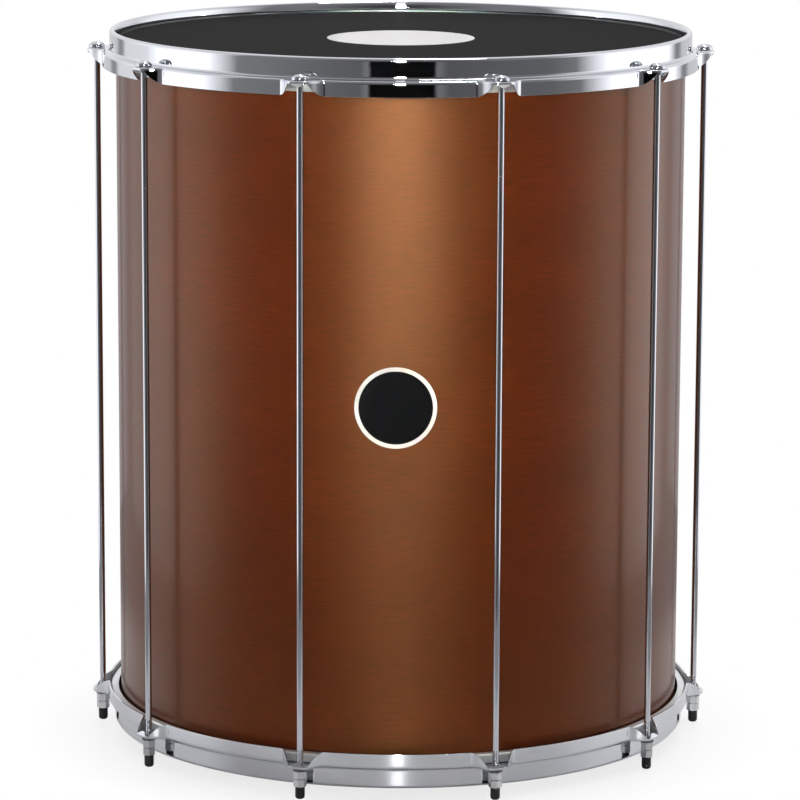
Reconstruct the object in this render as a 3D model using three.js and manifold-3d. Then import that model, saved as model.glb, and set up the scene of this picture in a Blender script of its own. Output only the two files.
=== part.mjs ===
// Surdo, the low drum of a samba band: a wooden shell with a film head at each end.
// Two pressed metal hoops pull the heads down, drawn together by ten long rods.
// Millimetres, +Z up. The origin is on the drum's axis, on the floor under the feet.
// The front, with the badge, looks toward -Y. Angles are counted from the front.

import * as THREE from 'three';
import { mergeVertices } from 'three/addons/utils/BufferGeometryUtils.js';
import Module from 'manifold-3d';

const wasm = await Module();
wasm.setup();

// Shell: one ply tube, 20 by 24 inches
const SHELL_DIAMETER = 508;
const SHELL_HEIGHT = 609.6;
const SHELL_WALL = 7.2;
const EDGE_ROUND = 5.6;

// Heads: a film that rolls over the bearing edge and flares out into its flesh hoop
const FILM_THICKNESS = 0.6;
const COLLAR_FLARE = 1.2;

// Flesh hoops: the metal ring round each head's collar
const FLESH_HOOP_HEIGHT = 8.6;
const FLESH_HOOP_WIDTH = 6.6;
const FLESH_HOOP_ROUND = 1.8;

// Pressed hoops: rim, shoulder and skirt of one sheet, whose top edge is rolled in and
// down to a half-round bead
const HOOP_SHEET = 2;
const HOOP_HEIGHT = 32.2;
const RIM_RISE = 9.6;
const RIM_BEAD_WIDTH = 6.1;
const RIM_BEAD_DEPTH = 8;
const SHOULDER_DEPTH = 18.2;
const SHOULDER_CREASE = 3;
const SKIRT_ROUND = 3.4;

// Ears: where the hoop runs out round each rod. The skirt is notched on both sides of the
// rod, and the sheet between the notches hangs down as a small tab that leans in
const EAR_LIP_WIDTH = 10;
const EAR_FOOT_WIDTH = 41;
const EAR_OVERHANG = 8.6;
const EAR_ROUND = 2.4;
const EAR_NOTCH_WIDTH = 17;
const EAR_LIP_TURN = 0.4;
const EAR_TAB_TURN = 3.8;
const EAR_TAB_LEAN = 2.6;

// Tension rods, with a domed head on the top ear
const ROD_COUNT = 10;
const ROD_STANDOFF = 5.4;
const ROD_DIAMETER = 5.5;
const ROD_HEAD_DIAMETER = 14.4;
const ROD_HEAD_HEIGHT = 5;
const ROD_HEAD_SIDE = 0.9;
const ROD_HEAD_CROWN_DIAMETER = 9.6;
const ROD_HEAD_CROWN_HEIGHT = 4;

// Washer, tuning nut and lock nut under the bottom ear
const WASHER_DIAMETER = 12.4;
const WASHER_THICKNESS = 2.2;
const NUT_ACROSS_FLATS = 10;
const NUT_HEIGHT = 6.6;
const NUT_CHAMFER = 0.7;

// Rubber feet: caps over the rods' lower ends
const FOOT_DIAMETER = 8.3;
const FOOT_DROP = 9.2;
const FOOT_FLOOR = 2.5;
const FOOT_ROUND = 1.6;

// Badge: a thin round plate, curved to the shell, with a raised border
const BADGE_DIAMETER = 70;
const BADGE_THICKNESS = 1.2;
const BADGE_BORDER = 3.5;
const BADGE_RECESS = 0.4;
const BADGE_RISE = 18;
const BADGE_ASIDE = 3;

// Clearances
const SEAT_GAP = 0.3;
const RIM_CLEARANCE = 2.7;
const SKIRT_CLEARANCE = 1;
const BORE_GAP = 0.45;
const EAR_HOLE_GAP = 0.6;
const CUT_OVERRUN = 20;

// Counts of facets
const ROUND_THE_DRUM = 50;
const ROUND_A_ROD = 8;
const ROUND_THE_BADGE = 32;
const STEPS_IN_A_ROUND = 2;
const STEPS_BETWEEN_EARS = 4;

// Where an ear's sections stand, as shares of half its width at the foot
const EAR_STATION_SHARES = [0.27, 0.56, 1];

// Radii, from the shell outward: film, flesh hoop, rim, skirt, rods, ears
const shellRadius = SHELL_DIAMETER / 2;
const collarTopRadius = shellRadius + SEAT_GAP;
const collarEndRadius = collarTopRadius + COLLAR_FLARE;
const fleshInnerRadius = collarEndRadius + FILM_THICKNESS + SEAT_GAP;
const fleshOuterRadius = fleshInnerRadius + FLESH_HOOP_WIDTH;
const rimRadius = collarTopRadius + FILM_THICKNESS + RIM_CLEARANCE + HOOP_SHEET;
const skirtRadius = fleshOuterRadius + SKIRT_CLEARANCE + HOOP_SHEET;
const rodCircleRadius = skirtRadius + ROD_STANDOFF;
const earRadius = rodCircleRadius + EAR_OVERHANG;
const rodRadius = ROD_DIAMETER / 2;
const boreRadius = rodRadius + BORE_GAP;

// Heights above the floor
const bottomRimZ = FOOT_DROP;
const bottomEdgeZ = bottomRimZ + RIM_RISE;
const topEdgeZ = bottomEdgeZ + SHELL_HEIGHT;
const topRimZ = topEdgeZ + RIM_RISE;
const topEarZ = topRimZ - SHOULDER_DEPTH;
const bottomEarZ = bottomRimZ + SHOULDER_DEPTH;
const washerZ = bottomEarZ - SEAT_GAP - WASHER_THICKNESS;
const tuningNutZ = washerZ - SEAT_GAP - NUT_HEIGHT;
const lockNutZ = tuningNutZ - SEAT_GAP - NUT_HEIGHT;
const footTopZ = lockNutZ - SEAT_GAP;
const badgeZ = bottomEdgeZ + SHELL_HEIGHT / 2 + BADGE_RISE;

// Depths below the rim's edge of a hoop, counted into the drum
const edgeDepth = RIM_RISE;
const fleshTopDepth = SHOULDER_DEPTH + HOOP_SHEET + SEAT_GAP;
const fleshEndDepth = fleshTopDepth + FLESH_HOOP_HEIGHT;

const lacqueredWood = new THREE.MeshStandardMaterial({ color: 0x7d4424, roughness: 0.4, metalness: 0 });
const chrome = new THREE.MeshStandardMaterial({ color: 0xd9dbde, roughness: 0.12, metalness: 1 });
const satinMetal = new THREE.MeshStandardMaterial({ color: 0xb9bbbe, roughness: 0.35, metalness: 1 });
const darkSteel = new THREE.MeshStandardMaterial({ color: 0x3b3c3f, roughness: 0.45, metalness: 1 });
const blackFilm = new THREE.MeshStandardMaterial({ color: 0x161616, roughness: 0.6, metalness: 0 });
const blackRubber = new THREE.MeshStandardMaterial({ color: 0x0d0d0d, roughness: 0.75, metalness: 0 });
const blackEnamel = new THREE.MeshStandardMaterial({ color: 0x08080a, roughness: 0.25, metalness: 0.2 });

// A section point of a turned piece: radius, then height
const at = (radius, height) => new THREE.Vector2(radius, height);

// A rounded corner of a section, from one angle to another
function roundedCorner(radius, height, round, fromAngle, toAngle) {
  const clockwise = toAngle < fromAngle;
  const curve = new THREE.EllipseCurve(radius, height, round, round, fromAngle, toAngle, clockwise);
  return curve.getPoints(STEPS_IN_A_ROUND);
}

// A geometry with its seams closed, so that it bounds one solid
function closed(geometry) {
  geometry.deleteAttribute('normal');
  geometry.deleteAttribute('uv');
  return mergeVertices(geometry);
}

// A turned piece about Z, its section drawn counterclockwise with the axis at the left
function turned(section, facets) {
  return closed(new THREE.LatheGeometry(section, facets).rotateX(Math.PI / 2));
}

// A turned ring, whose section closes on itself
const turnedRing = (section, facets) => turned([...section, section[0]], facets);

// A plain round bar about Z, used to cut bores
function bar(radius, fromZ, toZ, facets) {
  return turned([at(0, fromZ), at(radius, fromZ), at(radius, toZ), at(0, toZ)], facets);
}

function toSolid(geometry) {
  const vertProperties = new Float32Array(geometry.attributes.position.array);
  const triVerts = new Uint32Array(geometry.index.array);
  return new wasm.Manifold(new wasm.Mesh({ numProp: 3, vertProperties, triVerts }));
}

function toGeometry(solid) {
  const mesh = solid.getMesh();
  const geometry = new THREE.BufferGeometry();
  geometry.setAttribute('position', new THREE.BufferAttribute(mesh.vertProperties, 3));
  geometry.setIndex(new THREE.BufferAttribute(mesh.triVerts, 1));
  return geometry;
}

function cut(body, tools) {
  let solid = toSolid(body);
  for (const tool of tools) {
    solid = solid.subtract(toSolid(tool));
  }
  return toGeometry(solid);
}

function piece(name, geometry, material) {
  const mesh = new THREE.Mesh(geometry, material.clone());
  mesh.name = name;
  return mesh;
}

// The shell, with a round outside and a 45 degree cut inside each bearing edge
function shellGeometry() {
  const roundRadius = shellRadius - EDGE_ROUND;
  const innerRadius = shellRadius - SHELL_WALL;
  const innerCut = SHELL_WALL - EDGE_ROUND;
  return turnedRing([
    ...roundedCorner(roundRadius, EDGE_ROUND, EDGE_ROUND, -Math.PI / 2, 0),
    ...roundedCorner(roundRadius, SHELL_HEIGHT - EDGE_ROUND, EDGE_ROUND, 0, Math.PI / 2),
    at(innerRadius, SHELL_HEIGHT - innerCut),
    at(innerRadius, innerCut),
  ], ROUND_THE_DRUM);
}

// A head, drawn with the rim's edge at height zero and the drum below it
function headGeometry() {
  const roundRadius = shellRadius - EDGE_ROUND;
  const roundZ = -edgeDepth - EDGE_ROUND;
  const innerRound = EDGE_ROUND + SEAT_GAP;
  const outerRound = innerRound + FILM_THICKNESS;
  return turned([
    at(0, roundZ + innerRound),
    ...roundedCorner(roundRadius, roundZ, innerRound, Math.PI / 2, 0),
    at(collarEndRadius, -fleshEndDepth),
    at(collarEndRadius + FILM_THICKNESS, -fleshEndDepth),
    ...roundedCorner(roundRadius, roundZ, outerRound, 0, Math.PI / 2),
    at(0, roundZ + outerRound),
  ], ROUND_THE_DRUM);
}

// A ring with a flat top for the hoop's shoulder to press on, and a round lower edge
function fleshHoopGeometry() {
  return turnedRing([
    at(fleshInnerRadius, -fleshEndDepth),
    at(fleshOuterRadius - FLESH_HOOP_ROUND, -fleshEndDepth),
    at(fleshOuterRadius, -fleshEndDepth + FLESH_HOOP_ROUND),
    at(fleshOuterRadius, -fleshTopDepth),
    at(fleshInnerRadius, -fleshTopDepth),
  ], ROUND_THE_DRUM);
}

// How far along from the foot of an ear, as 0, to a place nearer the rod, as 1
function earShare(distance, innerWidth) {
  const run = (EAR_FOOT_WIDTH - innerWidth) / 2;
  return THREE.MathUtils.clamp((EAR_FOOT_WIDTH / 2 - Math.abs(distance)) / run, 0, 1);
}

// The hoop's section at a distance along it from the nearest rod: bead, crease, shoulder
// and skirt outside, then back up inside. Each of its roundings is one facet, laid along
// the round's middle. Toward the rod the shoulder runs outward in a smooth flank, to the
// ear's lip, and the skirt's free edge sweeps up into the notch and down to the tab.
function hoopSection(distance) {
  const climbShare = earShare(distance, EAR_LIP_WIDTH);
  const reachShare = THREE.MathUtils.smoothstep(climbShare, 0, 1);
  const notchShare = earShare(distance, EAR_NOTCH_WIDTH) ** 2;
  const tabShare = Math.max(0, 1 - 2 * Math.abs(distance) / EAR_NOTCH_WIDTH);
  const flank = (EAR_FOOT_WIDTH - EAR_LIP_WIDTH) / 2;
  const slope = 6 * climbShare * (1 - climbShare) * (earRadius - skirtRadius) / flank;
  const reach = THREE.MathUtils.lerp(skirtRadius, earRadius, reachShare);
  const lipTurn = THREE.MathUtils.lerp(EAR_LIP_TURN, EAR_TAB_TURN, tabShare);
  const lipDepth = SHOULDER_DEPTH + HOOP_SHEET + lipTurn;
  const skirtDepth = THREE.MathUtils.lerp(HOOP_HEIGHT, lipDepth, notchShare);
  const lean = EAR_TAB_LEAN * tabShare;
  const wall = HOOP_SHEET * Math.hypot(1, slope);
  const underShoulder = -SHOULDER_DEPTH - HOOP_SHEET;
  const halfTurnShare = Math.tan(Math.PI / 8);
  const facetShare = 1 - halfTurnShare;
  const beadCut = RIM_BEAD_WIDTH / 2 * facetShare;
  const creaseCut = SHOULDER_CREASE * facetShare;
  const bendCut = THREE.MathUtils.lerp(SKIRT_ROUND, EAR_ROUND, reachShare) * facetShare;
  const creaseInset = creaseCut - HOOP_SHEET * halfTurnShare;
  const beadRadius = rimRadius - RIM_BEAD_WIDTH;
  return [
    at(beadRadius, -RIM_BEAD_DEPTH),
    at(rimRadius - HOOP_SHEET, -RIM_BEAD_DEPTH),
    at(rimRadius - HOOP_SHEET, -SHOULDER_DEPTH + creaseInset),
    at(rimRadius + creaseInset, underShoulder),
    at(reach - wall, underShoulder),
    at(reach - wall - lean, -skirtDepth),
    at(reach - lean, -skirtDepth),
    at(reach, -SHOULDER_DEPTH - bendCut),
    at(reach - bendCut, -SHOULDER_DEPTH),
    at(rimRadius + creaseCut, -SHOULDER_DEPTH),
    at(rimRadius, -SHOULDER_DEPTH + creaseCut),
    at(rimRadius, -beadCut),
    at(rimRadius - beadCut, 0),
    at(beadRadius + beadCut, 0),
    at(beadRadius, -beadCut),
  ];
}

// Where the hoop's sections stand, as distances from the nearest rod and its angle
function hoopStations() {
  const stations = [];
  const pitch = 2 * Math.PI / ROD_COUNT;
  const halfFoot = EAR_FOOT_WIDTH / 2;
  const gap = pitch * rodCircleRadius - EAR_FOOT_WIDTH;
  for (let ear = 0; ear < ROD_COUNT; ear += 1) {
    const distances = [0];
    for (const share of EAR_STATION_SHARES) {
      distances.push(halfFoot * share);
      distances.unshift(-halfFoot * share);
    }
    for (let step = 1; step < STEPS_BETWEEN_EARS; step += 1) {
      distances.push(halfFoot + gap * step / STEPS_BETWEEN_EARS);
    }
    for (const distance of distances) {
      stations.push({ distance, angle: (ear + 0.5) * pitch + distance / rodCircleRadius });
    }
  }
  return stations;
}

// One sheet swept round the drum, its section changing from station to station
function hoopSheetGeometry() {
  const stations = hoopStations();
  const positions = [];
  const indices = [];
  let count = 0;
  for (const { distance, angle } of stations) {
    const section = hoopSection(distance);
    count = section.length;
    for (const point of section) {
      positions.push(point.x * Math.sin(angle), -point.x * Math.cos(angle), point.y);
    }
  }
  for (let station = 0; station < stations.length; station += 1) {
    const next = (station + 1) % stations.length;
    for (let corner = 0; corner < count; corner += 1) {
      const along = (corner + 1) % count;
      const a = station * count + corner;
      const b = next * count + corner;
      const c = next * count + along;
      const d = station * count + along;
      indices.push(a, b, c, a, c, d);
    }
  }
  const geometry = new THREE.BufferGeometry();
  geometry.setAttribute('position', new THREE.Float32BufferAttribute(positions, 3));
  geometry.setIndex(indices);
  return geometry;
}

// The finished hoop, with a rod hole through each ear's plate
function hoopGeometry() {
  const holes = [];
  for (let ear = 0; ear < ROD_COUNT; ear += 1) {
    const hole = bar(rodRadius + EAR_HOLE_GAP, -HOOP_HEIGHT - CUT_OVERRUN, CUT_OVERRUN, ROUND_A_ROD);
    hole.translate(0, -rodCircleRadius, 0);
    hole.rotateZ((ear + 0.5) * 2 * Math.PI / ROD_COUNT);
    holes.push(hole);
  }
  return cut(hoopSheetGeometry(), holes);
}

// One end of the drum, with its rim's edge at height zero and the drum below it
function drumEnd(side) {
  const end = new THREE.Group();
  end.add(piece(`${side}_head`, headGeometry(), blackFilm));
  end.add(piece(`${side}_flesh_hoop`, fleshHoopGeometry(), satinMetal));
  end.add(piece(`${side}_hoop`, hoopGeometry(), chrome));
  return end;
}

// A rod, from its end inside the foot up to its domed head on the top ear
function rodGeometry() {
  const headZ = topEarZ + SEAT_GAP;
  return turned([
    at(0, FOOT_FLOOR + SEAT_GAP),
    at(rodRadius, FOOT_FLOOR + SEAT_GAP),
    at(rodRadius, headZ),
    at(ROD_HEAD_DIAMETER / 2, headZ),
    at(ROD_HEAD_DIAMETER / 2, headZ + ROD_HEAD_SIDE),
    at(ROD_HEAD_CROWN_DIAMETER / 2, headZ + ROD_HEAD_CROWN_HEIGHT),
    at(0, headZ + ROD_HEAD_HEIGHT),
  ], ROUND_A_ROD);
}

function washerGeometry() {
  return turnedRing([
    at(boreRadius, 0),
    at(WASHER_DIAMETER / 2, 0),
    at(WASHER_DIAMETER / 2, WASHER_THICKNESS),
    at(boreRadius, WASHER_THICKNESS),
  ], ROUND_A_ROD);
}

// A hexagon nut, chamfered at both ends, with its flat bottom at height zero
function nutGeometry() {
  const corner = NUT_ACROSS_FLATS / 2 / Math.cos(Math.PI / 6) - NUT_CHAMFER;
  const hexagon = new THREE.Shape();
  for (let side = 0; side < 6; side += 1) {
    const angle = side * Math.PI / 3;
    const point = at(corner * Math.cos(angle), corner * Math.sin(angle));
    if (side === 0) {
      hexagon.moveTo(point.x, point.y);
    } else {
      hexagon.lineTo(point.x, point.y);
    }
  }
  hexagon.closePath();
  const blank = new THREE.ExtrudeGeometry(hexagon, {
    depth: NUT_HEIGHT - 2 * NUT_CHAMFER,
    bevelThickness: NUT_CHAMFER,
    bevelSize: NUT_CHAMFER,
    bevelSegments: 1,
  });
  blank.translate(0, 0, NUT_CHAMFER);
  return cut(closed(blank), [bar(boreRadius, -CUT_OVERRUN, NUT_HEIGHT + CUT_OVERRUN, ROUND_A_ROD)]);
}

// A rubber foot: a cap with a round edge below and a blind hole for the rod
function footGeometry() {
  const holeRadius = rodRadius + SEAT_GAP;
  return turned([
    at(0, 0),
    at(FOOT_DIAMETER / 2 - FOOT_ROUND, 0),
    at(FOOT_DIAMETER / 2, FOOT_ROUND),
    at(FOOT_DIAMETER / 2, footTopZ),
    at(holeRadius, footTopZ),
    at(holeRadius, FOOT_FLOOR),
    at(0, FOOT_FLOOR),
  ], ROUND_A_ROD);
}

// The badge: the part of a thin sleeve round the shell that lies inside a circle, seen
// from a little left of the front, with the middle sunk inside its border
function badgeGeometry() {
  const innerRadius = shellRadius + SEAT_GAP;
  const outerRadius = innerRadius + BADGE_THICKNESS;
  const halfHeight = BADGE_DIAMETER;
  const sleeve = turnedRing([
    at(innerRadius, -halfHeight),
    at(outerRadius, -halfHeight),
    at(outerRadius, halfHeight),
    at(innerRadius, halfHeight),
  ], ROUND_THE_DRUM);
  const sunkSleeve = turnedRing([
    at(outerRadius - BADGE_RECESS, -halfHeight),
    at(outerRadius + CUT_OVERRUN, -halfHeight),
    at(outerRadius + CUT_OVERRUN, halfHeight),
    at(outerRadius - BADGE_RECESS, halfHeight),
  ], ROUND_THE_DRUM);
  const outline = bar(BADGE_DIAMETER / 2, 0, outerRadius + CUT_OVERRUN, ROUND_THE_BADGE);
  const middle = bar(BADGE_DIAMETER / 2 - BADGE_BORDER, 0, outerRadius + CUT_OVERRUN, ROUND_THE_BADGE);
  for (const cutter of [outline, middle]) {
    cutter.rotateX(Math.PI / 2);
    cutter.rotateZ(-Math.asin(BADGE_ASIDE / outerRadius));
  }
  const plate = toSolid(sleeve).intersect(toSolid(outline));
  const sunk = toSolid(sunkSleeve).intersect(toSolid(middle));
  return toGeometry(plate.subtract(sunk));
}

const surdo = new THREE.Group();

const shell = piece('shell', shellGeometry(), lacqueredWood);
shell.position.z = bottomEdgeZ;
surdo.add(shell);

const topEnd = drumEnd('top');
topEnd.position.z = topRimZ;
surdo.add(topEnd);

const bottomEnd = drumEnd('bottom');
bottomEnd.rotation.x = Math.PI;
bottomEnd.position.z = bottomRimZ;
surdo.add(bottomEnd);

const badge = piece('badge', badgeGeometry(), blackEnamel);
badge.position.z = badgeZ;
surdo.add(badge);

for (let index = 0; index < ROD_COUNT; index += 1) {
  const number = String(index + 1).padStart(2, '0');
  const station = new THREE.Group();
  const rod = piece(`tension_rod_${number}`, rodGeometry(), chrome);
  const washer = piece(`washer_${number}`, washerGeometry(), darkSteel);
  const tuningNut = piece(`tuning_nut_${number}`, nutGeometry(), chrome);
  const lockNut = piece(`lock_nut_${number}`, nutGeometry(), chrome);
  const foot = piece(`rubber_foot_${number}`, footGeometry(), blackRubber);
  washer.position.z = washerZ;
  tuningNut.position.z = tuningNutZ;
  lockNut.position.z = lockNutZ;
  for (const item of [rod, washer, tuningNut, lockNut, foot]) {
    item.position.y = -rodCircleRadius;
    station.add(item);
  }
  station.rotation.z = (index + 0.5) * 2 * Math.PI / ROD_COUNT;
  surdo.add(station);
}

export default surdo;
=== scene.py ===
# %% [markdown]
# # A surdo, the low drum of a samba band
# The drum is a wooden shell with a film head at each end. A pressed metal hoop pulls
# each head down, and ten long rods draw the two hoops together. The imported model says
# where every piece is, and how big. It could be shown as it is, but its circles are
# polygons. So each piece is turned or pressed again here with a fine mesh, in the same
# place, and gets the finish that the real one has.

# %% Load the frame
import math

import bmesh
import bpy
from mathutils import Matrix, Vector


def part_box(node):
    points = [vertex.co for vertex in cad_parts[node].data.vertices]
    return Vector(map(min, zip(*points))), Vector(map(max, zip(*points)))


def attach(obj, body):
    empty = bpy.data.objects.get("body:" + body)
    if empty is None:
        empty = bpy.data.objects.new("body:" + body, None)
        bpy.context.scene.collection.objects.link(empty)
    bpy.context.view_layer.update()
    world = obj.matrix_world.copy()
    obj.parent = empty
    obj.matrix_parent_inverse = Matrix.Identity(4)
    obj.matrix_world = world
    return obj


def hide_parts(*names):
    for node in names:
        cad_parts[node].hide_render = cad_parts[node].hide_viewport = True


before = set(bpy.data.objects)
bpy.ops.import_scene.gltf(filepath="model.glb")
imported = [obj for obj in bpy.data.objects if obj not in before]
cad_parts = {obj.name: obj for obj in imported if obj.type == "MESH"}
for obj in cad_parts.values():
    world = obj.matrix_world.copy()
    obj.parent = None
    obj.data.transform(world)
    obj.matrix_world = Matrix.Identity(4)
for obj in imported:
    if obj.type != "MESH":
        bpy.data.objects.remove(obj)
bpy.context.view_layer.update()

# %% [markdown]
# # Sizes
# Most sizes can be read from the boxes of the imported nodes. A turned piece has a corner
# straight in front of the drum's axis, so its box gives its radius. What a box can't
# give, such as a wall or a rounding, is written once here, in millimetres.

# %% Sizes from the frame
MM = 0.001
ROD_COUNT = 10
numbers = [f"{index + 1:02d}" for index in range(ROD_COUNT)]


def radius_of(node):
    """How far a turned node reaches from the drum's axis."""
    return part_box(node)[1].y


def heights_of(node):
    """The lowest and highest point of a node."""
    low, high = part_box(node)
    return low.z, high.z


shell_radius = radius_of("shell")
flesh_outer_radius = radius_of("top_flesh_hoop")
collar_end_radius = radius_of("top_head")
ear_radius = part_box("top_hoop")[1].x
shell_bottom, shell_top = heights_of("shell")
top_hoop_bottom, top_rim = heights_of("top_hoop")
bottom_rim = heights_of("bottom_hoop")[0]
hoop_height = top_rim - top_hoop_bottom
flesh_low, flesh_high = heights_of("top_flesh_hoop")
rod_low, rod_high = heights_of("tension_rod_03")
rod_circle_radius = sum(corner.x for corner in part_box("tension_rod_03")) / 2
print("shell radius", round(shell_radius, 4), "rods at", round(rod_circle_radius, 4))

# %% Sizes that the boxes don't show
SHELL_WALL = 7.2 * MM
EDGE_ROUND = 5.6 * MM
FILM = 0.6 * MM
COLLAR_FLARE = 1.2 * MM
SEAT_GAP = 0.3 * MM
SHEET = 2 * MM
RIM_RADIUS = 259.6 * MM
SHOULDER_DEPTH = 18.2 * MM
SKIRT_RADIUS = 266 * MM
rim_rise = top_rim - shell_top


def place_at_rod(index):
    """Turns a piece made over +X to the place of a rod, counted from the front."""
    angle = (index + 0.5) * math.tau / ROD_COUNT - math.pi / 2
    return Matrix.Rotation(angle, 4, "Z") @ Matrix.Translation((rod_circle_radius, 0, 0))


# %% [markdown]
# # Shader maths in plain Python
# A finish is a tree of nodes. Adding each Math node by hand hides what is being worked
# out. So one small class wraps a socket: arithmetic on it adds the Math nodes, and its
# one method adds any other node.

# %% Wires
class Wire:
    """A socket of a node tree. Arithmetic adds Math nodes, and node() adds any other."""

    def __init__(self, tree, socket=None):
        self.tree = tree
        self.socket = socket

    def node(self, kind, settings=None, sockets=None, output=0):
        made = self.tree.nodes.new(kind)
        for name, value in (settings or {}).items():
            if name == "stops":
                fill_ramp(made.color_ramp, value)
            else:
                setattr(made, name, value)
        for name, value in (sockets or {}).items():
            if isinstance(value, Wire):
                self.tree.links.new(value.socket, made.inputs[name])
            else:
                made.inputs[name].default_value = value
        return Wire(self.tree, made.outputs[output] if made.outputs else None)

    def maths(self, operation, *values):
        return self.node("ShaderNodeMath", {"operation": operation}, dict(enumerate(values)))

    def __add__(self, other):
        return self.maths("ADD", self, other)

    def __sub__(self, other):
        return self.maths("SUBTRACT", self, other)

    def __rsub__(self, other):
        return self.maths("SUBTRACT", other, self)

    def __mul__(self, other):
        return self.maths("MULTIPLY", self, other)

    __radd__ = __add__
    __rmul__ = __mul__


def fill_ramp(ramp, stops):
    """Gives a colour ramp its stops, as (place, colour) pairs."""
    while len(ramp.elements) < len(stops):
        ramp.elements.new(1)
    for element, (place, colour) in zip(ramp.elements, stops):
        element.position = place
        element.color = colour


def tint(red, green, blue):
    """A colour written as on a screen, 0 to 255, turned into the linear one."""
    def linear(share):
        return share / 12.92 if share <= 0.04045 else ((share + 0.055) / 1.055) ** 2.4
    return (linear(red / 255), linear(green / 255), linear(blue / 255), 1)


# %% [markdown]
# # One way to mix every finish
# Every finish starts from Object coordinates. These are metres in the frame, so a grain
# of half a millimetre is written as such, and it stays on its piece when that turns.
# Stretching the coordinates stretches the pattern, which turns plain noise into grain.

# %% Helpers for finishes
def new_finish(name):
    """An empty material, and a wire to mix it with."""
    material = bpy.data.materials.new(name)
    material.use_nodes = True
    material.node_tree.nodes.clear()
    return material, Wire(material.node_tree)


def place_on(paint):
    """Where a point of the piece is, in metres."""
    return paint.node("ShaderNodeTexCoord", output="Object")


def length_of(paint, vector):
    settings = {"operation": "LENGTH"}
    return paint.node("ShaderNodeVectorMath", settings, {0: vector}, output="Value")


def noise(paint, scales, detail, roughness=0.5):
    """Noise whose spots are so many to the metre along X, Y and Z."""
    stretched = paint.node("ShaderNodeMapping", {}, {"Vector": place_on(paint), "Scale": scales})
    sockets = {"Vector": stretched, "Scale": 1.0, "Detail": detail, "Roughness": roughness}
    return paint.node("ShaderNodeTexNoise", {}, sockets)


def bump(paint, height, distance):
    """The normal of a surface whose relief is height times a distance."""
    return paint.node("ShaderNodeBump", {}, {"Height": height, "Distance": distance})


# A Mix node has sockets for numbers, for vectors and for colours. These are the colours'.
FIRST_COLOUR = 6
SECOND_COLOUR = 7
COLOUR_OUT = 2


def mixed(paint, share, first, second):
    """A colour that goes from the first to the second with the share."""
    sockets = {"Factor": share, FIRST_COLOUR: first, SECOND_COLOUR: second}
    return paint.node("ShaderNodeMix", {"data_type": "RGBA"}, sockets, output=COLOUR_OUT)


def spread(paint, value, low, high):
    """A value stretched so that low becomes 0 and high becomes 1."""
    sockets = {"Value": value, "From Min": low, "From Max": high}
    return paint.node("ShaderNodeMapRange", {}, sockets)


def surface(paint, sockets):
    """Ends a finish with its shader."""
    shader = paint.node("ShaderNodeBsdfPrincipled", {}, sockets)
    paint.node("ShaderNodeOutputMaterial", {}, {"Surface": shader})


# %% [markdown]
# # Stained ply under satin lacquer
# The shell's outer ply is laid with its grain level, round the drum. The stain sinks in
# unevenly, so broad clouds of lighter and darker brown lie under short dark pores. The
# fibres catch the light under the lacquer, which is a coat over the colour.

# %% Wood finish
FIBRE_SHARE = 0.75
PORE_SHARE = 0.65
WOOD_ROUGHNESS = 0.44
FIBRE_GLOSS = 0.06
FIBRE_RELIEF = 0.03 * MM
WARM_SHEEN = (2.2, 1.1, 0.45, 1)
LACQUER_WEIGHT = 0.4


def stained_wood():
    material, paint = new_finish("stained_wood")
    cloud = spread(paint, noise(paint, (7, 7, 22), 3), 0.25, 0.75)
    fibre = spread(paint, noise(paint, (60, 60, 750), 4), 0.3, 0.7)
    pore = spread(paint, noise(paint, (110, 110, 1500), 2), 0.58, 0.72)
    stain = mixed(paint, cloud, tint(72, 13, 0), tint(91, 23, 0))
    grain = mixed(paint, fibre * FIBRE_SHARE, stain, tint(42, 8, 0))
    colour = mixed(paint, pore * PORE_SHARE, grain, tint(28, 4, 0))
    edge_on = paint.node("ShaderNodeLayerWeight", {}, {"Blend": 0.5}, output="Facing")
    surface(paint, {
        "Base Color": colour,
        "Roughness": WOOD_ROUGHNESS - fibre * FIBRE_GLOSS,
        "Normal": bump(paint, fibre - pore, FIBRE_RELIEF),
        "IOR": 1.45,
        "Specular Tint": WARM_SHEEN,
        "Coat Weight": LACQUER_WEIGHT * spread(paint, edge_on, 0.2, 0.6),
        "Coat Roughness": 0.13,
    })
    return material


wood = stained_wood()
print("wood:", len(wood.node_tree.nodes), "nodes")

# %% [markdown]
# # Chrome
# Plated steel mirrors the room. A perfect mirror looks like a drawing, because a pressed
# sheet is never quite even and hands leave a film on it. So the roughness drifts a
# little, and a very shallow relief bends the reflections.

# %% Metal finishes
PALE_METAL = tint(236, 238, 242)
PALE_SHARE = 0.3
HAZE_SHARE = 0.02


def plated(name, colour, roughness, drift, wave):
    """Metal whose roughness drifts by so much, with a relief as deep as the wave."""
    material, paint = new_finish(name)
    cloud = noise(paint, (30, 30, 30), 3)
    haze = noise(paint, (900, 900, 900), 2)
    surface(paint, {
        "Base Color": mixed(paint, cloud * PALE_SHARE, colour, PALE_METAL),
        "Metallic": 1.0,
        "Roughness": roughness + drift * cloud,
        "Normal": bump(paint, cloud + HAZE_SHARE * haze, wave),
    })
    return material


hoop_chrome = plated("hoop_chrome", tint(208, 210, 214), 0.015, 0.04, 0.1 * MM)
hoop_inside = plated("hoop_inside", tint(210, 211, 213), 0.36, 0.1, 0.03 * MM)
rod_chrome = plated("rod_chrome", tint(196, 198, 203), 0.07, 0.06, 0.05 * MM)
nut_plate = plated("nut_plate", tint(206, 207, 208), 0.24, 0.16, 0.05 * MM)
washer_steel = plated("washer_steel", tint(34, 34, 36), 0.4, 0.15, 0.03 * MM)
flesh_metal = plated("flesh_metal", tint(232, 233, 232), 0.42, 0.1, 0.03 * MM)
print("finishes so far:", len(bpy.data.materials))

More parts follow.
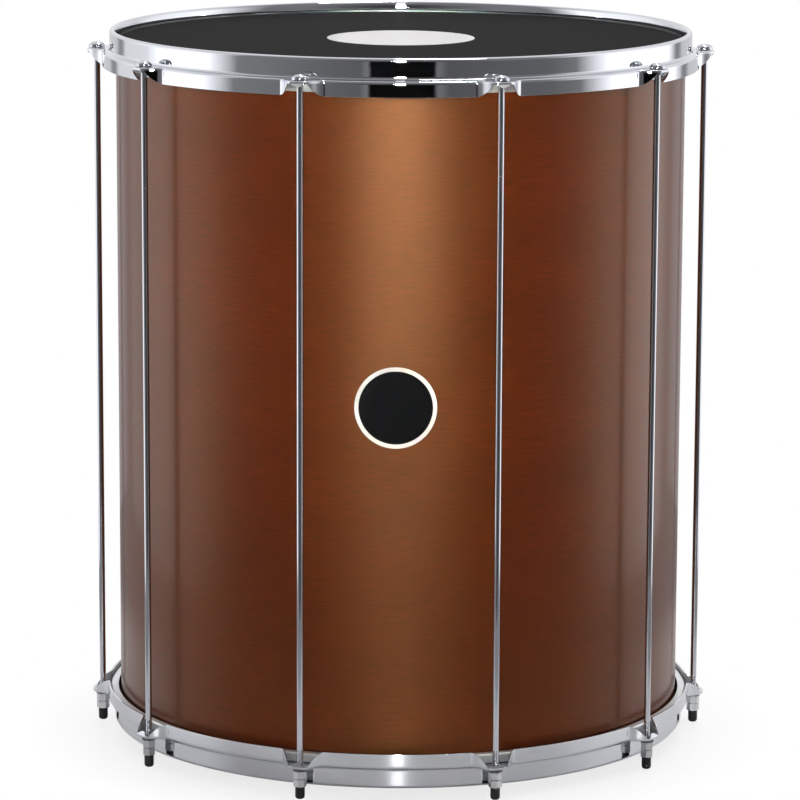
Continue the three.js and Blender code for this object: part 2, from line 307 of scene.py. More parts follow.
# %% [markdown]
# # Black film, rubber and enamel
# The head is a black film with a fine leathery grain, which keeps it dull. The rubber
# feet are plain black with a moulded skin. The badge is glossy black enamel inside a
# white border, and the head has a round white print. Both are kept bare.

# %% Film, rubber and enamel finishes
PRINT_RADIUS = 66 * MM
PRINT_EDGE = 0.3 * MM
LEATHER_RELIEF = 0.12 * MM
GREY_DUST = tint(34, 34, 34)
DUST_SHARE = 0.2


def leathery_film(name, printed):
    material, paint = new_finish(name)
    grain = noise(paint, (650, 650, 650), 3, 0.6)
    cloud = noise(paint, (9, 9, 9), 3)
    colour = mixed(paint, cloud, tint(11, 9, 10), tint(18, 15, 15))
    if printed:
        sockets = {0: place_on(paint), 1: (1, 1, 0)}
        flat = paint.node("ShaderNodeVectorMath", {"operation": "MULTIPLY"}, sockets)
        ink = spread(paint, length_of(paint, flat), PRINT_RADIUS, PRINT_RADIUS - PRINT_EDGE)
        colour = mixed(paint, ink, colour, tint(216, 215, 214))
    surface(paint, {
        "Base Color": colour,
        "Roughness": 0.6 + 0.15 * grain,
        "Normal": bump(paint, grain, LEATHER_RELIEF),
        "Specular IOR Level": 0.03,
    })
    return material


def plain_coloured(name, colour, roughness, grain_scale, relief):
    material, paint = new_finish(name)
    grain = noise(paint, (grain_scale, grain_scale, grain_scale), 3)
    surface(paint, {
        "Base Color": mixed(paint, grain * DUST_SHARE, colour, GREY_DUST),
        "Roughness": roughness + 0.1 * grain,
        "Normal": bump(paint, grain, relief),
    })
    return material


top_film = leathery_film("top_film", True)
bottom_film = leathery_film("bottom_film", False)
rubber = plain_coloured("rubber", tint(9, 9, 10), 0.5, 900, 0.04 * MM)
enamel = plain_coloured("enamel", tint(4, 4, 5), 0.1, 200, 0.005 * MM)
border_white = plain_coloured("border_white", tint(236, 234, 231), 0.3, 400, 0.01 * MM)
print("finishes:", len(bpy.data.materials))

# %% [markdown]
# # From an outline to a turned piece
# Most of a drum is turned: the shell, the heads, the rings, the rods and the feet all
# have one section all the way round. So a piece starts as a line of a few corners. A
# vertex bevel rounds the corners that need it, and a spin sweeps the line round.

# %% Helpers for turned pieces
ROUND_STEPS = 6
DRUM_STEPS = 240
SMALL_STEPS = 32
SHARP = math.radians(40)
TOUCHING = 0.001 * MM


def draw_outline(bm, corners, closed=False):
    """Draws corners, given as (radius, height, rounding), as one line over +X."""
    points = [bm.verts.new((radius, 0, height)) for radius, height, _ in corners]
    pairs = list(zip(points, points[1:]))
    if closed:
        pairs.append((points[-1], points[0]))
    for pair in pairs:
        bm.edges.new(pair)
    for point, (_, _, rounding) in zip(points, corners):
        if rounding:
            bmesh.ops.bevel(
                bm, geom=[point], offset=rounding, offset_type="OFFSET",
                segments=ROUND_STEPS, profile=0.5, affect="VERTICES", material=-1)


def turn(bm, steps):
    """Sweeps what is drawn once round Z, closes the seam and points the faces out."""
    bmesh.ops.spin(
        bm, geom=bm.verts[:] + bm.edges[:], cent=(0, 0, 0), axis=(0, 0, 1),
        dvec=(0, 0, 0), angle=math.tau, steps=steps, use_merge=True)
    bmesh.ops.remove_doubles(bm, verts=bm.verts[:], dist=TOUCHING)
    bmesh.ops.recalc_face_normals(bm, faces=bm.faces[:])


def turned_mesh(corners, steps, closed=True):
    bm = bmesh.new()
    draw_outline(bm, corners, closed)
    turn(bm, steps)
    return bm


def settle(bm, name, node, finishes, body="drum", place=None):
    """Makes the mesh an object in its place, on its body, in the stead of its node."""
    if place:
        bmesh.ops.transform(bm, matrix=place, verts=bm.verts[:])
    mesh = bpy.data.meshes.new(name)
    bm.to_mesh(mesh)
    bm.free()
    mesh.shade_smooth()
    mesh.set_sharp_from_angle(angle=SHARP)
    for material in finishes:
        mesh.materials.append(material)
    piece = bpy.data.objects.new(name, mesh)
    bpy.context.scene.collection.objects.link(piece)
    even = piece.modifiers.new("even_shading", "WEIGHTED_NORMAL")
    even.keep_sharp = True
    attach(piece, body)
    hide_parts(node)
    return piece


def turned_piece(name, node, corners, finish, closed=True):
    """A piece turned about the drum's own axis."""
    return settle(turned_mesh(corners, DRUM_STEPS, closed), name, node, [finish])


# %% [markdown]
# # The shell
# The shell is a ply tube. Its ends are the bearing edges that the heads roll over: they
# are rounded outside and cut away inside. It could be a cylinder with a thickness, but
# the edges would then be square, so its whole section is drawn.

# %% Shell
shell_inner = shell_radius - SHELL_WALL
inner_cut = SHELL_WALL - EDGE_ROUND
shell = turned_piece("lacquered_shell", "shell", [
    (shell_radius, shell_bottom, EDGE_ROUND),
    (shell_radius, shell_top, EDGE_ROUND),
    (shell_inner + inner_cut, shell_top, 0),
    (shell_inner, shell_top - inner_cut, 0),
    (shell_inner, shell_bottom + inner_cut, 0),
    (shell_inner + inner_cut, shell_bottom, 0),
], wood)
print("shell:", len(shell.data.polygons), "faces")

# %% [markdown]
# # The heads and their flesh hoops
# A head is a thin film that runs flat over the drum, rolls over the bearing edge and
# flares out into the flesh hoop, a light metal ring that holds its collar. The bottom
# head is the top one upside down, so one outline serves both: it is drawn as a depth
# below the rim and flipped for the bottom.

# %% Heads
flesh_depth = top_rim - flesh_high
flesh_end_depth = top_rim - flesh_low
flesh_inner_radius = collar_end_radius + SEAT_GAP
FLESH_ROUND = 1.8 * MM
ends = {
    "top": lambda depth: top_rim - depth,
    "bottom": lambda depth: bottom_rim + depth,
}


def head_corners(height):
    """The film's section, from the middle out under the film and back on top of it."""
    under = rim_rise - SEAT_GAP
    over = under - FILM
    collar = shell_radius + SEAT_GAP
    bend = rim_rise + EDGE_ROUND
    return [
        (0, height(under), 0),
        (collar, height(under), bend - under),
        (collar, height(bend), 0),
        (collar + COLLAR_FLARE, height(flesh_end_depth), 0),
        (collar + COLLAR_FLARE + FILM, height(flesh_end_depth), 0),
        (collar + FILM, height(bend), 0),
        (collar + FILM, height(over), bend - over),
        (0, height(over), 0),
    ]


def flesh_hoop_corners(height):
    return [
        (flesh_inner_radius, height(flesh_depth), 0),
        (flesh_outer_radius, height(flesh_depth), FLESH_ROUND),
        (flesh_outer_radius, height(flesh_end_depth), FLESH_ROUND),
        (flesh_inner_radius, height(flesh_end_depth), 0),
    ]


for end, height in ends.items():
    film = top_film if end == "top" else bottom_film
    ring = flesh_hoop_corners(height)
    turned_piece(f"{end}_film", f"{end}_head", head_corners(height), film, closed=False)
    turned_piece(f"{end}_collar_ring", f"{end}_flesh_hoop", ring, flesh_metal)
print("heads and flesh hoops:", list(ends))

# %% [markdown]
# # The pressed hoops
# A hoop is one pressed sheet. Its top edge is rolled in and down to a half-round bead,
# and below the rim come a shoulder and a skirt, which flow into each other. At each rod
# the shoulder runs out into an ear. The skirt is notched on both sides of the rod, and a
# small tab of it hangs down between the notches, leaning in. The sheet could be
# thickened by a modifier, but its bends are nearly as tight as it is thick, and the
# inner side would fold. So the section is drawn with both its sides.

# %% Shape of an ear
SHOULDER_CREASE = 2.8 * MM
SKIRT_ROUND = 3.2 * MM
EAR_ROUND = 2.4 * MM
EAR_LIP_WIDTH = 10 * MM
EAR_FOOT_WIDTH = 41 * MM
EAR_NOTCH_WIDTH = 17 * MM
EAR_LIP_TURN = 0.4 * MM
EAR_TAB_TURN = 3.8 * MM
EAR_TAB_LEAN = 2.6 * MM
SHEET_EDGE_ROUND = 0.3 * MM
plate_start = RIM_RADIUS + SHOULDER_CREASE
plate_end = SKIRT_RADIUS - SKIRT_ROUND
skirt_start = SHOULDER_DEPTH + SKIRT_ROUND
skirt_end = hoop_height - SHEET_EDGE_ROUND
print("ears reach", round((ear_radius - SKIRT_RADIUS) / MM, 1), "mm past the skirt")


def clamp(value):
    return min(1, max(0, value))


def smooth(share):
    return share * share * (3 - 2 * share)


def ear_share(distance, inner_width):
    """How far along from the foot of an ear, as 0, to a place nearer the rod, as 1."""
    return clamp((EAR_FOOT_WIDTH - 2 * abs(distance)) / (EAR_FOOT_WIDTH - inner_width))


def shape_ear(point):
    """Moves a point of the plain hoop out to where the ear has it. The plate widens, the
    skirt's edge comes up into the notch and down again to the tab, and the bend between
    plate and skirt keeps its centre but gets tighter."""
    radius = math.hypot(point.co.x, point.co.y)
    angle = math.atan2(point.co.y, point.co.x)
    distance = angle * rod_circle_radius
    reach = smooth(ear_share(distance, EAR_LIP_WIDTH))
    notch = ear_share(distance, EAR_NOTCH_WIDTH) ** 2
    tab = smooth(clamp(1 - 2 * abs(distance) / EAR_NOTCH_WIDTH))
    lip_turn = EAR_LIP_TURN + tab * (EAR_TAB_TURN - EAR_LIP_TURN)
    lip_depth = SHOULDER_DEPTH + SHEET + lip_turn
    out = clamp((radius - plate_start) / (plate_end - plate_start))
    down = clamp((-point.co.z - skirt_start) / (skirt_end - skirt_start))
    tighter = reach * (SKIRT_ROUND - EAR_ROUND)
    beyond = max(radius - plate_end, 0)
    above = max(point.co.z + skirt_start, 0)
    pull = tighter / math.hypot(beyond, above)
    radius += out * (reach * (ear_radius - SKIRT_RADIUS) + tighter) - beyond * pull
    radius -= down * tab * EAR_TAB_LEAN
    rise = (1 - down) * tighter + down * notch * (hoop_height - lip_depth)
    height = point.co.z - above * pull + rise
    point.co = (radius * math.cos(angle), radius * math.sin(angle), height)


# %% Section of the hoop
BEAD_WIDTH = 6.1 * MM
BEAD_DEPTH = 8 * MM
BEAD_ROUND = 3 * MM
BEAD_FALL = 7.4 * MM
BEAD_STEPS = 10
EAR_ARC = math.radians(5.5)
EAR_STEPS = 24
PLAIN_STEPS = 8
PLATE_CUTS = 11
SKIRT_CUTS = 7
half_pitch = math.pi / ROD_COUNT


def sweep_on(bm, geometry, angle, steps):
    """Spins the end of a sheet further round, and returns its new end."""
    swept = bmesh.ops.spin(
        bm, geom=geometry, cent=(0, 0, 0), axis=(0, 0, 1), dvec=(0, 0, 0),
        angle=angle, steps=steps, use_merge=False)
    return swept["geom_last"]


def middle_of(edge):
    return (edge.verts[0].co + edge.verts[1].co) / 2


def bead_slope(skin):
    """The bead's inner side, from its foot up to its crest. It leans like a quarter of a
    high ellipse, so the far side of the rim mirrors the lamps over nearly all its height."""
    corners = []
    for step in range(BEAD_STEPS + 1):
        angle = step / BEAD_STEPS * math.pi / 2
        radius = RIM_RADIUS - BEAD_WIDTH + skin + (BEAD_ROUND - skin) * (1 - math.cos(angle))
        height = -skin - (BEAD_FALL - skin) * (1 - math.sin(angle))
        corners.append((radius, height, 0))
    return corners


def hoop_section(bm):
    """The whole section, cut finely where an ear bends it."""
    bead_radius = RIM_RADIUS - BEAD_WIDTH
    rim_inner = RIM_RADIUS - SHEET
    skirt_inner = SKIRT_RADIUS - SHEET
    under = -SHOULDER_DEPTH - SHEET
    draw_outline(bm, [
        (bead_radius, -BEAD_DEPTH, SHEET_EDGE_ROUND),
        *bead_slope(0),
        (RIM_RADIUS, 0, BEAD_ROUND),
        (RIM_RADIUS, -SHOULDER_DEPTH, SHOULDER_CREASE),
        (SKIRT_RADIUS, -SHOULDER_DEPTH, SKIRT_ROUND),
        (SKIRT_RADIUS, -hoop_height, SHEET_EDGE_ROUND),
        (skirt_inner, -hoop_height, SHEET_EDGE_ROUND),
        (skirt_inner, under, SKIRT_ROUND - SHEET),
        (rim_inner, under, SHOULDER_CREASE + SHEET),
        (rim_inner, -SHEET, BEAD_ROUND - SHEET),
        *reversed(bead_slope(SHEET)),
        (bead_radius + SHEET, -BEAD_DEPTH, SHEET_EDGE_ROUND),
    ], True)
    plate = [
        edge for edge in bm.edges if on_span(edge, middle_of(edge).x, plate_start, plate_end)]
    skirt = [
        edge for edge in bm.edges if on_span(edge, -middle_of(edge).z, skirt_start, skirt_end)]
    bmesh.ops.subdivide_edges(bm, edges=plate, cuts=PLATE_CUTS)
    bmesh.ops.subdivide_edges(bm, edges=skirt, cuts=SKIRT_CUTS)


def on_span(edge, middle, start, end):
    """True for an edge that covers a whole span of the section."""
    return start < middle < end and edge.calc_length() > (end - start) - TOUCHING


# %% [markdown]
# # A round hole in a square grid
# The rod passes through the ear's plate. A boolean would leave untidy faces that spoil
# the shine. Instead a few faces of the grid are taken out on both sides of the plate, a
# circle is put in each opening, and the loops are bridged.

# %% Rod hole
ROD_HOLE_RADIUS = 3.35 * MM
HOLE_MARGIN = 1.6 * MM
HOLE_STEPS = 28


def open_plate(bm, depth):
    """Opens one side of the ear over +X, and returns the edges of its round hole."""
    window = ROD_HOLE_RADIUS + HOLE_MARGIN
    centre = Vector((rod_circle_radius, 0, -depth))

    def near(place, reach):
        away = place - centre
        return max(abs(away.x), abs(away.y)) < reach and abs(away.z) < TOUCHING

    inside = [face for face in bm.faces if near(face.calc_center_median(), window)]
    bmesh.ops.delete(bm, geom=inside, context="FACES")
    square = [edge for edge in bm.edges if edge.is_boundary and near(middle_of(edge), 2 * window)]
    circle = bmesh.ops.create_circle(
        bm, cap_ends=False, radius=ROD_HOLE_RADIUS, segments=HOLE_STEPS,
        matrix=Matrix.Translation(centre))
    round_edges = list({edge for vert in circle["verts"] for edge in vert.link_edges})
    bmesh.ops.bridge_loops(bm, edges=square + round_edges)
    return [edge for edge in bm.edges if edge.is_boundary and near(middle_of(edge), window)]


def bore_ear(bm):
    upper = open_plate(bm, SHOULDER_DEPTH)
    lower = open_plate(bm, SHOULDER_DEPTH + SHEET)
    bmesh.ops.bridge_loops(bm, edges=upper + lower)


# %% [markdown]
# # From half an ear to a whole hoop
# Half an ear is swept with fine steps and coarser ones beyond it, then shaped, mirrored,
# bored and repeated ten times. Only the outside and the bead are polished. The other
# faces that look inward get a duller finish: those whose normal leans towards the drum's
# axis by more than a set share.

# %% Hoops
INWARD = -0.3


def hoop_mesh():
    bm = bmesh.new()
    hoop_section(bm)
    fine_end = sweep_on(bm, bm.verts[:] + bm.edges[:], EAR_ARC, EAR_STEPS)
    sweep_on(bm, fine_end, half_pitch - EAR_ARC, PLAIN_STEPS)
    for point in bm.verts:
        shape_ear(point)
    everything = bm.verts[:] + bm.edges[:] + bm.faces[:]
    bmesh.ops.mirror(bm, geom=everything, axis="Y", merge_dist=TOUCHING)
    bmesh.ops.remove_doubles(bm, verts=bm.verts[:], dist=TOUCHING)
    bore_ear(bm)
    everything = bm.verts[:] + bm.edges[:] + bm.faces[:]
    to_first_rod = Matrix.Rotation(half_pitch - math.pi / 2, 3, "Z")
    bmesh.ops.rotate(bm, verts=bm.verts[:], matrix=to_first_rod)
    bmesh.ops.spin(
        bm, geom=everything, cent=(0, 0, 0), axis=(0, 0, 1), dvec=(0, 0, 0),
        angle=math.tau * (ROD_COUNT - 1) / ROD_COUNT, steps=ROD_COUNT - 1, use_duplicate=True)
    bmesh.ops.remove_doubles(bm, verts=bm.verts[:], dist=TOUCHING)
    bmesh.ops.recalc_face_normals(bm, faces=bm.faces[:])
    for face in bm.faces:
        outward = face.calc_center_median() * Vector((1, 1, 0))
        looks_inward = face.normal.dot(outward.normalized()) < INWARD
        on_bead = outward.length < RIM_RADIUS - BEAD_WIDTH / 2
        face.material_index = 1 if looks_inward and not on_bead else 0
    return bm


bm = hoop_mesh()
gaps = [edge for edge in bm.edges if not edge.is_manifold]
print("hoop:", len(bm.faces), "faces,", len(gaps), "open edges")
for end, place in {
    "top": Matrix.Translation((0, 0, top_rim)),
    "bottom": Matrix.Translation((0, 0, bottom_rim)) @ Matrix.Rotation(math.pi, 4, "X"),
}.items():
    finishes = [hoop_chrome, hoop_inside]
    settle(bm.copy(), f"{end}_pressed_hoop", f"{end}_hoop", finishes, place=place)
bm.free()

# %% [markdown]
# # Tension rods
# A rod is a thin bar with a domed head on the top ear and a thread at its lower end. The
# thread is a ridge wound round a thinner core. A spin that also climbs with each step
# makes it, and the ridge sinks a little into the core so that no gap shows.

# %% Rods
HEAD_SIDE = 0.9 * MM
HEAD_HEIGHT = 5 * MM
DOME_STEPS = 8
ROD_RADIUS = 2.75 * MM
THREAD_TOP = 43 * MM
THREAD_PITCH = 0.8 * MM
THREAD_DEPTH = 0.35 * MM
THREAD_SINK = 0.05 * MM
THREAD_STEPS = 16
head_low = rod_high - HEAD_HEIGHT
head_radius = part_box("tension_rod_03")[1].x - rod_circle_radius
core_radius = ROD_RADIUS - THREAD_DEPTH


def dome_corners():
    """The domed top of the head, as a quarter of an ellipse."""
    dome_height = HEAD_HEIGHT - HEAD_SIDE
    corners = []
    for step in range(DOME_STEPS + 1):
        angle = step / DOME_STEPS * math.pi / 2
        height = head_low + HEAD_SIDE + dome_height * math.sin(angle)
        corners.append((head_radius * math.cos(angle), height, 0))
    return corners


def wind_thread(bm, low, high):
    """Adds the thread's ridge, which climbs from low to high round the core."""
    base = core_radius - THREAD_SINK
    half = THREAD_PITCH / 2
    ridge = [
        bm.verts.new((base, 0, low - half)),
        bm.verts.new((ROD_RADIUS, 0, low)),
        bm.verts.new((base, 0, low + half)),
    ]
    turns = (high - low) / THREAD_PITCH
    steps = round(turns * THREAD_STEPS)
    start = bm.faces.new(ridge)
    bmesh.ops.spin(
        bm, geom=[start], cent=(0, 0, 0), axis=(0, 0, 1),
        dvec=(0, 0, (high - low) / steps), angle=turns * math.tau, steps=steps, use_merge=False)


def rod_mesh():
    bm = turned_mesh([
        (0, rod_low, 0),
        (core_radius, rod_low, THREAD_DEPTH),
        (core_radius, THREAD_TOP, 0),
        (ROD_RADIUS, THREAD_TOP + THREAD_DEPTH, 0),
        (ROD_RADIUS, head_low, 0),
        (head_radius, head_low, HEAD_SIDE / 4),
    ] + dome_corners(), SMALL_STEPS, closed=False)
    wind_thread(bm, rod_low + THREAD_PITCH, THREAD_TOP)
    bmesh.ops.recalc_face_normals(bm, faces=bm.faces[:])
    return bm


def at_every_rod(bm, name, node, finish, turns=False):
    """Puts a copy of a small piece at each rod. A piece that turns is its own body."""
    for index, number in enumerate(numbers):
        part = f"{node}_{number}"
        body = part if turns else "drum"
        settle(bm.copy(), f"{name}_{number}", part, [finish], body, place_at_rod(index))
    print(name, len(bm.faces), "faces each")
    bm.free()


at_every_rod(rod_mesh(), "threaded_rod", "tension_rod", rod_chrome)

# %% [markdown]
# # Washers, nuts and rubber feet
# Under each bottom ear sit a dark washer, the tuning nut and a lock nut, and a rubber
# cap covers the rod's end. A nut is hexagonal with its corners turned down to a cone. So
# it starts as a turned blank with a bore, and six planes cut its flats.

# %% Washers
SMALL_SOFT = 0.25 * MM
BORE_GAP = 0.45 * MM
bore_radius = ROD_RADIUS + BORE_GAP
WASHER_RADIUS = 6.2 * MM
washer_low, washer_high = heights_of("washer_01")
washer_corners = [
    (bore_radius, washer_low, 0),
    (WASHER_RADIUS, washer_low, SMALL_SOFT),
    (WASHER_RADIUS, washer_high, SMALL_SOFT),
    (bore_radius, washer_high, 0),
]
washer = turned_mesh(washer_corners, SMALL_STEPS)
at_every_rod(washer, "turned_washer", "washer", washer_steel)

# %% Nuts
NUT_ACROSS_FLATS = 10 * MM
NUT_CHAMFER = 0.9 * MM
NUT_STEPS = 48
NUT_SIDES = 6
nut_corner = NUT_ACROSS_FLATS / 2 / math.cos(math.pi / NUT_SIDES)


def nut_mesh(low, high):
    bore_cut = SMALL_SOFT + BORE_GAP / 2
    bm = turned_mesh([
        (bore_radius, low + bore_cut, 0),
        (bore_radius + bore_cut, low, 0),
        (nut_corner - NUT_CHAMFER, low, 0),
        (nut_corner, low + NUT_CHAMFER / 2, 0),
        (nut_corner, high - NUT_CHAMFER / 2, 0),
        (nut_corner - NUT_CHAMFER, high, 0),
        (bore_radius + bore_cut, high, 0),
        (bore_radius, high - bore_cut, 0),
    ], NUT_STEPS)
    for side in range(NUT_SIDES):
        angle = (side + 0.5) * math.tau / NUT_SIDES
        out = Vector((math.cos(angle), math.sin(angle), 0))
        everything = bm.verts[:] + bm.edges[:] + bm.faces[:]
        cut = bmesh.ops.bisect_plane(
            bm, geom=everything, plane_co=out * NUT_ACROSS_FLATS / 2, plane_no=out,
            clear_outer=True, clear_inner=False)
        rim = [edge for edge in cut["geom_cut"] if isinstance(edge, bmesh.types.BMEdge)]
        bmesh.ops.contextual_create(bm, geom=rim)
    bmesh.ops.recalc_face_normals(bm, faces=bm.faces[:])
    return bm


for kind in ("tuning_nut", "lock_nut"):
    bm = nut_mesh(*heights_of(f"{kind}_01"))
    at_every_rod(bm, f"hexagonal_{kind}", kind, nut_plate, turns=True)

# %% Rubber feet
FOOT_RADIUS = 4.15 * MM
FOOT_ROUND = 2.6 * MM
FOOT_FLOOR = 2.5 * MM
foot_low, foot_top = heights_of("rubber_foot_01")
foot_corners = [
    (0, foot_low, 0),
    (FOOT_RADIUS, foot_low, FOOT_ROUND),
    (FOOT_RADIUS, foot_top, SMALL_SOFT),
    (ROD_RADIUS + SEAT_GAP, foot_top, 0),
    (ROD_RADIUS + SEAT_GAP, foot_low + FOOT_FLOOR, 0),
    (0, foot_low + FOOT_FLOOR, 0),
]
foot = turned_mesh(foot_corners, SMALL_STEPS, closed=False)
at_every_rod(foot, "moulded_foot", "rubber_foot", rubber)

# %% [markdown]
# # The badge
# The badge is a thin round plate with a raised border, bent to the shell. It is easiest
# to turn it flat, about its own middle, and then to bend it: a distance along the plate
# becomes an angle round the drum.

# %% Badge
BADGE_BORDER = 3.5 * MM
BADGE_THICKNESS = 1.2 * MM
BADGE_RECESS = 0.4 * MM
BADGE_RINGS = 9
BADGE_STEPS = 96
badge_low, badge_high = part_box("badge")
badge_radius = (badge_high.z - badge_low.z) / 2
badge_height = (badge_high.z + badge_low.z) / 2
badge_turn = (badge_high.x + badge_low.x) / 2 / shell_radius


def badge_mesh():
    bm = bmesh.new()
    sunk = BADGE_THICKNESS - BADGE_RECESS
    middle = badge_radius - BADGE_BORDER
    draw_outline(bm, [
        (0, 0, 0),
        (badge_radius, 0, 0),
        (badge_radius, BADGE_THICKNESS, SMALL_SOFT),
        (middle, BADGE_THICKNESS, BADGE_RECESS / 3),
        (middle, sunk, 0),
        (0, sunk, 0),
    ])
    across = [edge for edge in bm.edges if edge.calc_length() > badge_radius / 2]
    bmesh.ops.subdivide_edges(bm, edges=across, cuts=BADGE_RINGS)
    turn(bm, BADGE_STEPS)
    for face in bm.faces:
        place = face.calc_center_median()
        on_border = math.hypot(place.x, place.y) > middle and place.z > sunk
        face.material_index = 1 if on_border else 0
    for point in bm.verts:
        bend_to_shell(point)
    return bm


def bend_to_shell(point):
    """Wraps a point of the flat plate round the shell, a little left of the front."""
    radius = shell_radius + SEAT_GAP + point.co.z
    angle = point.co.x / shell_radius + badge_turn - math.pi / 2
    height = point.co.y + badge_height
    point.co = (radius * math.cos(angle), radius * math.sin(angle), height)


bm = badge_mesh()
bmesh.ops.recalc_face_normals(bm, faces=bm.faces[:])
settle(bm, "enamelled_badge", "badge", [enamel, border_white])
print("badge:", round(2 * badge_radius / MM, 1), "mm across")

# %% [markdown]
# # Camera
# The photograph was taken with a long lens from a little above the drum. The camera's
# place was found by laying the hoops' ellipses over it. The angle of view is written as
# a focal length, and the picture's frame is a square.

# %% Camera
CAMERA_DISTANCE = 3.6728
CAMERA_HEIGHT = 0.9993
CAMERA_ASIDE = 0.64 * MM
CAMERA_PITCH = math.radians(10.78)
CAMERA_ROLL = 0.00433
FOCAL_LENGTH_SHARE = 5.148
camera_data = bpy.data.cameras.new("camera")
camera_data.lens = FOCAL_LENGTH_SHARE * camera_data.sensor_width
camera = bpy.data.objects.new("camera", camera_data)
camera.matrix_world = (
    Matrix.Translation((CAMERA_ASIDE, -CAMERA_DISTANCE, CAMERA_HEIGHT))
    @ Matrix.Rotation(math.pi / 2 - CAMERA_PITCH, 4, "X")
    @ Matrix.Rotation(CAMERA_ROLL, 4, "Z"))
bpy.context.scene.collection.objects.link(camera)
bpy.context.scene.camera = camera
print("lens:", round(camera_data.lens, 1), "mm")

# %% [markdown]
# # Floor
# A product picture has a white ground. The floor is pale and a little glossy, and it
# turns white to the eye away from the drum, so that only the soft shadow close to the
# feet is left. The bottom hoop mirrors the pale floor just in front of it. Further out
# the floor's colour is painted darker, a painted pool of light round the drum, so that
# less light comes from it, or the whole shell would have a milky sheen in its mirror.

# %% Floor
FLOOR_SIZE = 0.9
FADE_START = 0.26
FADE_END = 0.34
PAINTED_POOL_START = 0.5
PAINTED_POOL_END = 0.66
WHITE_NEAR = 0.78
WHITE = (1, 1, 1, 1)


def pale_floor():
    material, paint = new_finish("pale_floor")
    away = length_of(paint, place_on(paint))
    # Painted pool of light: the floor's colour goes from pale near the drum to dark grey further
    # out.
    painted_pool_dimming = spread(paint, away, PAINTED_POOL_START, PAINTED_POOL_END)
    colour = mixed(paint, painted_pool_dimming, tint(240, 240, 240), tint(130, 130, 130))
    real = paint.node("ShaderNodeBsdfPrincipled", {}, {"Base Color": colour, "Roughness": 0.3})
    white = paint.node("ShaderNodeEmission", {}, {"Color": WHITE, "Strength": 1.0})
    seen = paint.node("ShaderNodeLightPath", output="Is Camera Ray")
    fade = WHITE_NEAR + (1 - WHITE_NEAR) * spread(paint, away, FADE_START, FADE_END)
    both = paint.node("ShaderNodeMixShader", {}, {0: seen * fade, 1: real, 2: white})
    paint.node("ShaderNodeOutputMaterial", {}, {"Surface": both})
    return material


bm = bmesh.new()
bmesh.ops.create_grid(bm, x_segments=1, y_segments=1, size=FLOOR_SIZE)
mesh = bpy.data.meshes.new("floor")
bm.to_mesh(mesh)
bm.free()
mesh.materials.append(pale_floor())
floor = bpy.data.objects.new("floor", mesh)
bpy.context.scene.collection.objects.link(floor)
print("floor:", 2 * FLOOR_SIZE, "m wide")

# %% [markdown]
# # The room that the chrome mirrors
# Chrome has no look of its own: what is seen on the hoops is the room. It is dark grey
# in front, black right behind the camera, and has a large white panel on each side and
# pale walls behind the drum. Three ramps round the compass hold these: one for what is
# low, one for what is higher and one for the ceiling. The room is only mirrored.

# %% Room
HALF_TURN = 180
COOL = 1.03
LOW_END = 0.08
CEILING_START = 0.4
CEILING_FULL = 0.7
world = bpy.data.worlds.new("studio")
bpy.context.scene.world = world
world.use_nodes = True
world.node_tree.nodes.clear()
sky = Wire(world.node_tree)
direction = sky.node("ShaderNodeTexCoord", output="Generated")
across, along, up = (
    sky.node("ShaderNodeSeparateXYZ", {}, {"Vector": direction}, output=axis) for axis in "XYZ")
heading = across.maths("ARCTAN2", across, -1 * along) * (0.5 / math.pi) + 0.5


def compass(pairs):
    """A ramp of brightness for headings in degrees, from the left round to the right."""
    stops = [
        ((degrees / HALF_TURN + 1) / 2, (grey, grey, grey * COOL, 1)) for degrees, grey in pairs]
    return sky.node("ShaderNodeValToRGB", {"stops": stops}, {"Fac": heading})


low = compass([
    (-180, 0.70), (-150, 0.70), (-146, 0.35), (-142, 0.35), (-138, 0.9), (-118, 1.0),
    (-107, 1.7), (-82, 1.7), (-66, 0.26), (-15, 0.14), (-13.4, 0.24), (-12, 0.24),
    (-11.3, 0.003), (13.2, 0.003), (13.8, 0.2), (15.5, 0.2), (18, 0.12), (60, 0.16),
    (72, 0.24), (90, 1.7), (128, 1.7), (134, 0.9), (138, 0.30), (141, 0.30),
    (146, 0.70), (180, 0.70),
])
high = compass([
    (-180, 0.9), (-140, 0.9), (-125, 1.2), (-82, 1.5), (-66, 0.24), (-40, 0.24),
    (-14, 0.1), (0, 0.03), (17, 0.1), (40, 0.22), (60, 0.22), (90, 1.5), (125, 1.2),
    (140, 0.9), (180, 0.9),
])
ceiling = compass([
    (-180, 0.95), (-120, 0.95), (-70, 0.25), (70, 0.25), (120, 0.95), (180, 0.95),
])
walls = mixed(sky, spread(sky, up, 0.0, LOW_END), low, high)
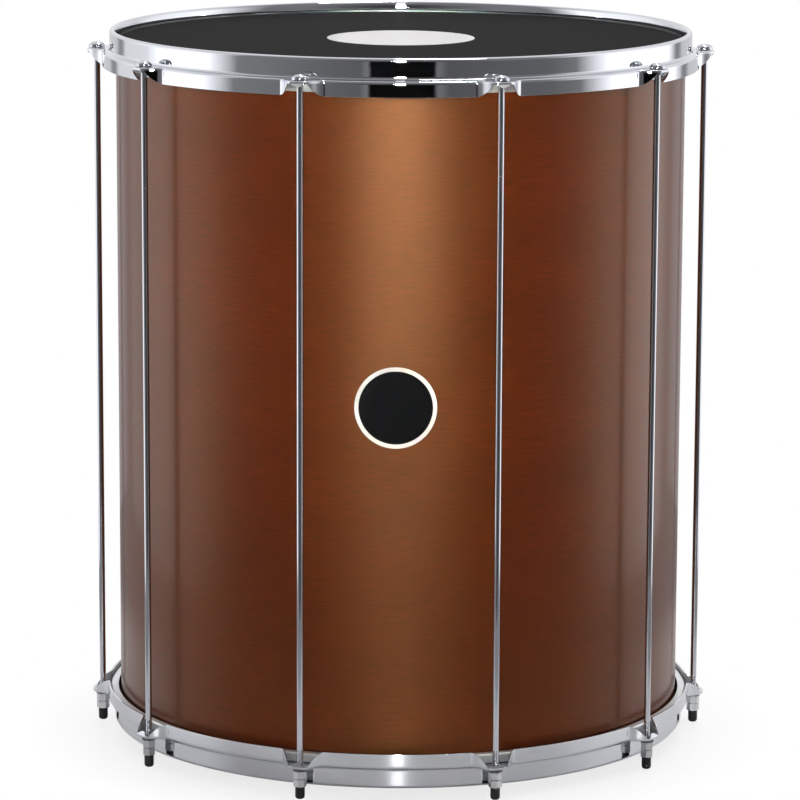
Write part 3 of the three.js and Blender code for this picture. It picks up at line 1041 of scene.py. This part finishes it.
room = mixed(sky, spread(sky, up, CEILING_START, CEILING_FULL), walls, ceiling)
seen = sky.node("ShaderNodeLightPath", output="Is Camera Ray")
light = mixed(sky, seen, room, WHITE)
background = sky.node("ShaderNodeBackground", {}, {"Color": light, "Strength": 1.0})
sky.node("ShaderNodeOutputWorld", {}, {"Surface": background})
print("room:", len(world.node_tree.nodes), "nodes")

# %% [markdown]
# # Lamps
# Four lamps stand six metres from the drum. Two narrow ones in front give
# the white spots on the hoops' bends and the soft streak down the shell. The lower one
# has a tight beam that reaches only the top hoop, because the bottom one has no such
# spots. One behind and one overhead draw the thin white lines along the top hoop.

# %% Lamps
LAMP_DISTANCE = 6.0
middle_of_drum = Vector((0, 0, (bottom_rim + top_rim) / 2))


def soft_panel(name, heading, rise, size, power, beam=HALF_TURN, aim=middle_of_drum):
    """A soft lamp at a heading and a rise in degrees, both seen from the point that it is
    aimed at. A grid in front of it can narrow its beam."""
    lamp = bpy.data.lights.new(name, "AREA")
    lamp.shape = "RECTANGLE"
    lamp.size, lamp.size_y = size
    lamp.energy = power
    lamp.spread = math.radians(beam)
    panel = bpy.data.objects.new(name, lamp)
    turned = math.radians(heading)
    raised = math.radians(rise)
    level = math.cos(raised)
    away = Vector((math.sin(turned) * level, -math.cos(turned) * level, math.sin(raised)))
    panel.location = aim + away * LAMP_DISTANCE
    panel.rotation_euler = away.to_track_quat("Z", "Y").to_euler()
    bpy.context.scene.collection.objects.link(panel)


top_of_drum = Vector((0, 0, top_rim))
soft_panel("front_strip", 0, 10, (0.32, 1.0), 2.8, 10, top_of_drum)
soft_panel("tall_strip", 0, 24, (0.32, 4.2), 50)
soft_panel("behind", 177.2, 56, (0.42, 1.2), 30)
soft_panel("overhead", 90, 80, (0.3, 1.4), 60)
print("lamps:", len(bpy.data.lights))

# %% [markdown]
# # Last steps
# Colours are shown as they are, with the Standard view.

# %% Finish
scene = bpy.context.scene
scene.view_settings.view_transform = "Standard"
